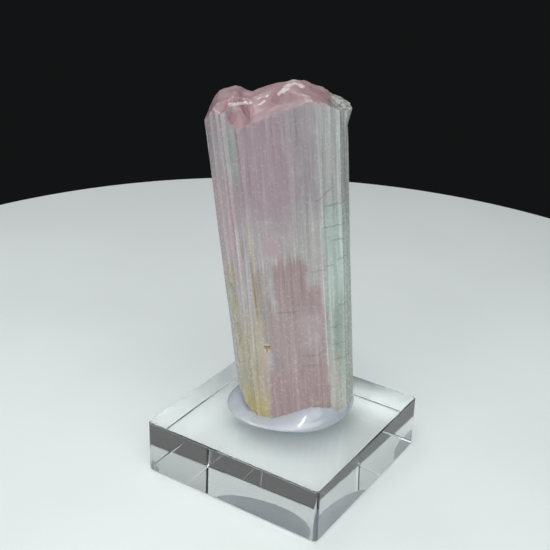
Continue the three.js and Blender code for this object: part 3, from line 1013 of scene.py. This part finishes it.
class OBJECT_OT_tourmaline_block(bpy.types.Operator):
    """Makes the clear acrylic block with its polished edges"""

    bl_idname = "object.tourmaline_block"
    bl_label = "Acrylic block"

    def execute(self, context):
        settings = context.scene.tourmaline_block
        low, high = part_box("acrylic_block")
        deselect()
        bpy.ops.mesh.primitive_cube_add(size=1.0, location=(low + high) / 2, scale=high - low)
        block = context.object
        block.name = block.data.name = "clear_block"
        settle(block)

        bpy.ops.object.mode_set(mode="EDIT")
        bpy.ops.mesh.select_mode(type="EDGE")
        self.select_edges(block, upright=True)
        bpy.ops.mesh.bevel(offset=settings.corner, segments=6)
        self.select_edges(block, upright=False)
        bpy.ops.mesh.bevel(offset=settings.edge, segments=3, clamp_overlap=True)
        bpy.ops.object.mode_set(mode="OBJECT")

        material = acrylic_material(settings)
        finish_piece(block, "acrylic_block", material, angle=radians(35))
        modify(block, "WEIGHTED_NORMAL", keep_sharp=True, weight=100)
        return {"FINISHED"}

    def select_edges(self, block, upright):
        """Selects either the block's upright edges or its level ones."""
        bpy.ops.mesh.select_all(action="DESELECT")
        mesh = bmesh.from_edit_mesh(block.data)
        for edge in mesh.edges:
            start, end = (vertex.co for vertex in edge.verts)
            if (abs(start.z - end.z) > LEVEL_WITHIN) == upright:
                edge.select_set(True)
        bmesh.update_edit_mesh(block.data)


class OBJECT_OT_tourmaline_crystal(bpy.types.Operator):
    """Makes the crystal with its growth lines and broken top"""

    bl_idname = "object.tourmaline_crystal"
    bl_label = "Crystal"

    def execute(self, context):
        settings = context.scene.tourmaline_crystal
        crystal = copy_of_node("crystal", "tourmaline")
        refine(crystal, settings.cell)
        refine(crystal, settings.cell * FINE_MESH_SHARE, above=BLOCK_TOP + FINE_MESH_START * MM)
        mark_crystal(crystal)
        self.add_relief(crystal, settings)
        material = crystal_material(settings)
        finish_piece(crystal, "crystal", material, angle=radians(40))
        return {"FINISHED"}

    def add_relief(self, crystal, settings):
        """Cuts the fine growth lines along the sides, and the grain and ledges of the broken top."""
        for name in ("broken", "grain", "ledge"):
            self.group_from_attribute(crystal, name)
        emboss(
            crystal,
            relief_texture("growth lines", noise_scale=1.0, noise_depth=2),
            texture_frame("growth holder", scale=(0.55, 0.55, 22.0)),
            strength=settings.ribs * 2,
            mid_level=0.5,
            vertex_group="broken",
            invert_vertex_group=True,
        )
        emboss(
            crystal,
            relief_texture("break grain", noise_scale=1.5, noise_depth=2, noise_type="HARD_NOISE"),
            texture_frame("break holder", scale=(1.0, 1.0, 1.0)),
            strength=settings.rough * 2,
            mid_level=0.6,
            vertex_group="grain",
        )
        modify(
            crystal,
            "DISPLACE",
            direction="Z",
            strength=settings.ledge,
            mid_level=0.0,
            vertex_group="ledge",
        )
        crystal.vertex_groups.clear()

    def group_from_attribute(self, crystal, name, least=0.02):
        """A vertex group with a stored number as its weights, where there is enough of it."""
        group = crystal.vertex_groups.new(name=name)
        weights = np.zeros(len(crystal.data.vertices), np.float32)
        crystal.data.attributes[name].data.foreach_get("value", weights)
        for index in np.nonzero(weights > least)[0]:
            group.add([int(index)], float(weights[index]), "REPLACE")


class OBJECT_OT_tourmaline_glue(bpy.types.Operator):
    """Makes the milky glue, closed against the crystal's foot"""

    bl_idname = "object.tourmaline_glue"
    bl_label = "Glue"

    def execute(self, context):
        settings = context.scene.tourmaline_glue
        glue = copy_of_node("glue", "set_glue")
        low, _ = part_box("glue")
        crystal = bpy.data.objects["tourmaline"]
        shape = bmesh.new()
        shape.from_mesh(crystal.data)
        foot = BVHTree.FromBMesh(shape)
        shape.free()
        modify(glue, "REMESH", mode="VOXEL", voxel_size=settings.cell)
        wall = glue.vertex_groups.new(name="pocket wall")
        rest = glue.vertex_groups.new(name="free surface")
        for vertex in glue.data.vertices:
            distance = foot.find_nearest(vertex.co)[3]
            (wall if distance < WALL_REACH else rest).add([vertex.index], 1.0, "REPLACE")
        modify(glue, "SMOOTH", factor=0.6, iterations=40, vertex_group="free surface")
        modify(
            glue,
            "SHRINKWRAP",
            target=crystal,
            wrap_method="NEAREST_SURFACEPOINT",
            wrap_mode="INSIDE",
            offset=WALL_SINK,
            vertex_group="pocket wall",
        )
        glue.vertex_groups.clear()
        for vertex in glue.data.vertices:
            if vertex.co.z < low.z + UNDERSIDE:
                vertex.co.z = low.z - settings.sink
        finish_piece(glue, "glue", glue_material(settings), angle=radians(60))
        return {"FINISHED"}


def soft_light(name, place, target, size, power, colour):
    """A soft rectangular light that faces its target. Places and sizes are in millimetres."""
    bpy.ops.object.light_add(type="AREA", location=Vector(place) * MM)
    light = bpy.context.object
    light.name = name
    light.data.shape = "RECTANGLE"
    light.data.size = size[0] * MM
    light.data.size_y = size[1] * MM
    light.data.energy = power
    light.data.color = colour
    ahead = Vector(target) * MM - light.location
    light.rotation_euler = ahead.to_track_quat("-Z", "Y").to_euler()


class SCENE_OT_tourmaline_stage(bpy.types.Operator):
    """Sets the pale floor, the soft lights and the camera"""

    bl_idname = "scene.tourmaline_stage"
    bl_label = "Stage"

    def execute(self, context):
        settings = context.scene.tourmaline_stage
        self.add_floor(settings)
        for name, place, target, size, colour in LIGHTS:
            soft_light(name, place, target, size, getattr(settings, name), colour)
        self.add_room(context, settings)
        self.add_camera(context, settings)
        return {"FINISHED"}

    def add_floor(self, settings):
        deselect()
        bpy.ops.mesh.primitive_cylinder_add(
            vertices=256,
            radius=settings.floor_radius,
            depth=FLOOR_THICKNESS,
            location=FLOOR_MIDDLE - Vector((0, 0, FLOOR_THICKNESS / 2 + FLOOR_GAP)),
        )
        floor = bpy.context.object
        floor.name = floor.data.name = "pale_floor"
        settle(floor)
        modify(
            floor, "BEVEL", width=FLOOR_RIM, segments=4, limit_method="ANGLE", angle_limit=radians(60)
        )
        bpy.ops.object.shade_smooth_by_angle(angle=radians(30))
        floor.data.materials.append(floor_material(settings))

    def add_room(self, context, settings):
        """Makes the dark room with its dim ceiling, and sets how light is shown."""
        room = bpy.data.worlds.new("dark room")
        room.use_nodes = True
        tree = room.node_tree
        direction = add(tree, "ShaderNodeTexCoord").outputs["Generated"]
        height = add(tree, "ShaderNodeSeparateXYZ", Vector=direction).outputs["Z"]
        overhead = ramp(tree, height, *CEILING_RISE)
        backdrop = solid_colour(settings.backdrop)
        sky = blend(tree, overhead, backdrop, solid_colour(settings.ceiling))
        tree.links.new(sky, tree.nodes["Background"].inputs["Color"])
        room.cycles.sampling_method = "NONE"
        context.scene.world = room
        context.scene.view_settings.view_transform = "Standard"
        # Light that crosses the clear block has to reach the floor under it unblurred.
        context.scene.cycles.blur_glossy = 0.0

    def add_camera(self, context, settings):
        bpy.ops.object.camera_add()
        camera = context.object
        camera.name = "camera"
        back = Vector(
            (
                sin(CAMERA_AZIMUTH) * cos(CAMERA_ELEVATION),
                -cos(CAMERA_AZIMUTH) * cos(CAMERA_ELEVATION),
                sin(CAMERA_ELEVATION),
            )
        )
        right = Vector((0, 0, 1)).cross(back).normalized()
        up = back.cross(right)
        tilted_right = right * cos(CAMERA_ROLL) + up * sin(CAMERA_ROLL)
        tilted_up = up * cos(CAMERA_ROLL) - right * sin(CAMERA_ROLL)
        turn = Matrix((tilted_right, tilted_up, back)).transposed()
        camera.matrix_world = Matrix.LocRotScale(CAMERA_PLACE, turn.to_quaternion(), None)
        camera.data.sensor_fit = "HORIZONTAL"
        camera.data.sensor_width = SENSOR_WIDTH
        camera.data.lens = settings.lens
        camera.data.clip_start = NEAREST_SEEN
        context.scene.camera = camera


class VIEW3D_PT_tourmaline(bpy.types.Panel):
    """Lists the makers of the mounted crystal"""

    bl_label = "Mounted tourmaline"
    bl_space_type = "VIEW_3D"
    bl_region_type = "UI"
    bl_category = "Tourmaline"

    def draw(self, context):
        for operator, settings in STEPS:
            self.layout.operator(operator.bl_idname)
            group = getattr(context.scene, settings)
            for name in group.__annotations__:
                self.layout.prop(group, name)


# Each maker and the settings that it reads, in the order in which they run.
STEPS = (
    (SCENE_OT_tourmaline_stage, "tourmaline_stage"),
    (OBJECT_OT_tourmaline_block, "tourmaline_block"),
    (OBJECT_OT_tourmaline_crystal, "tourmaline_crystal"),
    (OBJECT_OT_tourmaline_glue, "tourmaline_glue"),
)
SETTINGS = {
    "tourmaline_stage": StageSettings,
    "tourmaline_block": BlockSettings,
    "tourmaline_crystal": CrystalSettings,
    "tourmaline_glue": GlueSettings,
}
CLASSES = (*SETTINGS.values(), *(step[0] for step in STEPS), VIEW3D_PT_tourmaline)


def register():
    for kind in CLASSES:
        bpy.utils.register_class(kind)
    for name, kind in SETTINGS.items():
        setattr(bpy.types.Scene, name, PointerProperty(type=kind))


def unregister():
    for name in SETTINGS:
        delattr(bpy.types.Scene, name)
    for kind in reversed(CLASSES):
        bpy.utils.unregister_class(kind)


def main():
    register()
    bpy.ops.scene.tourmaline_stage()
    bpy.ops.object.tourmaline_block()
    bpy.ops.object.tourmaline_crystal()
    bpy.ops.object.tourmaline_glue()


if __name__ == "__main__":
    main()
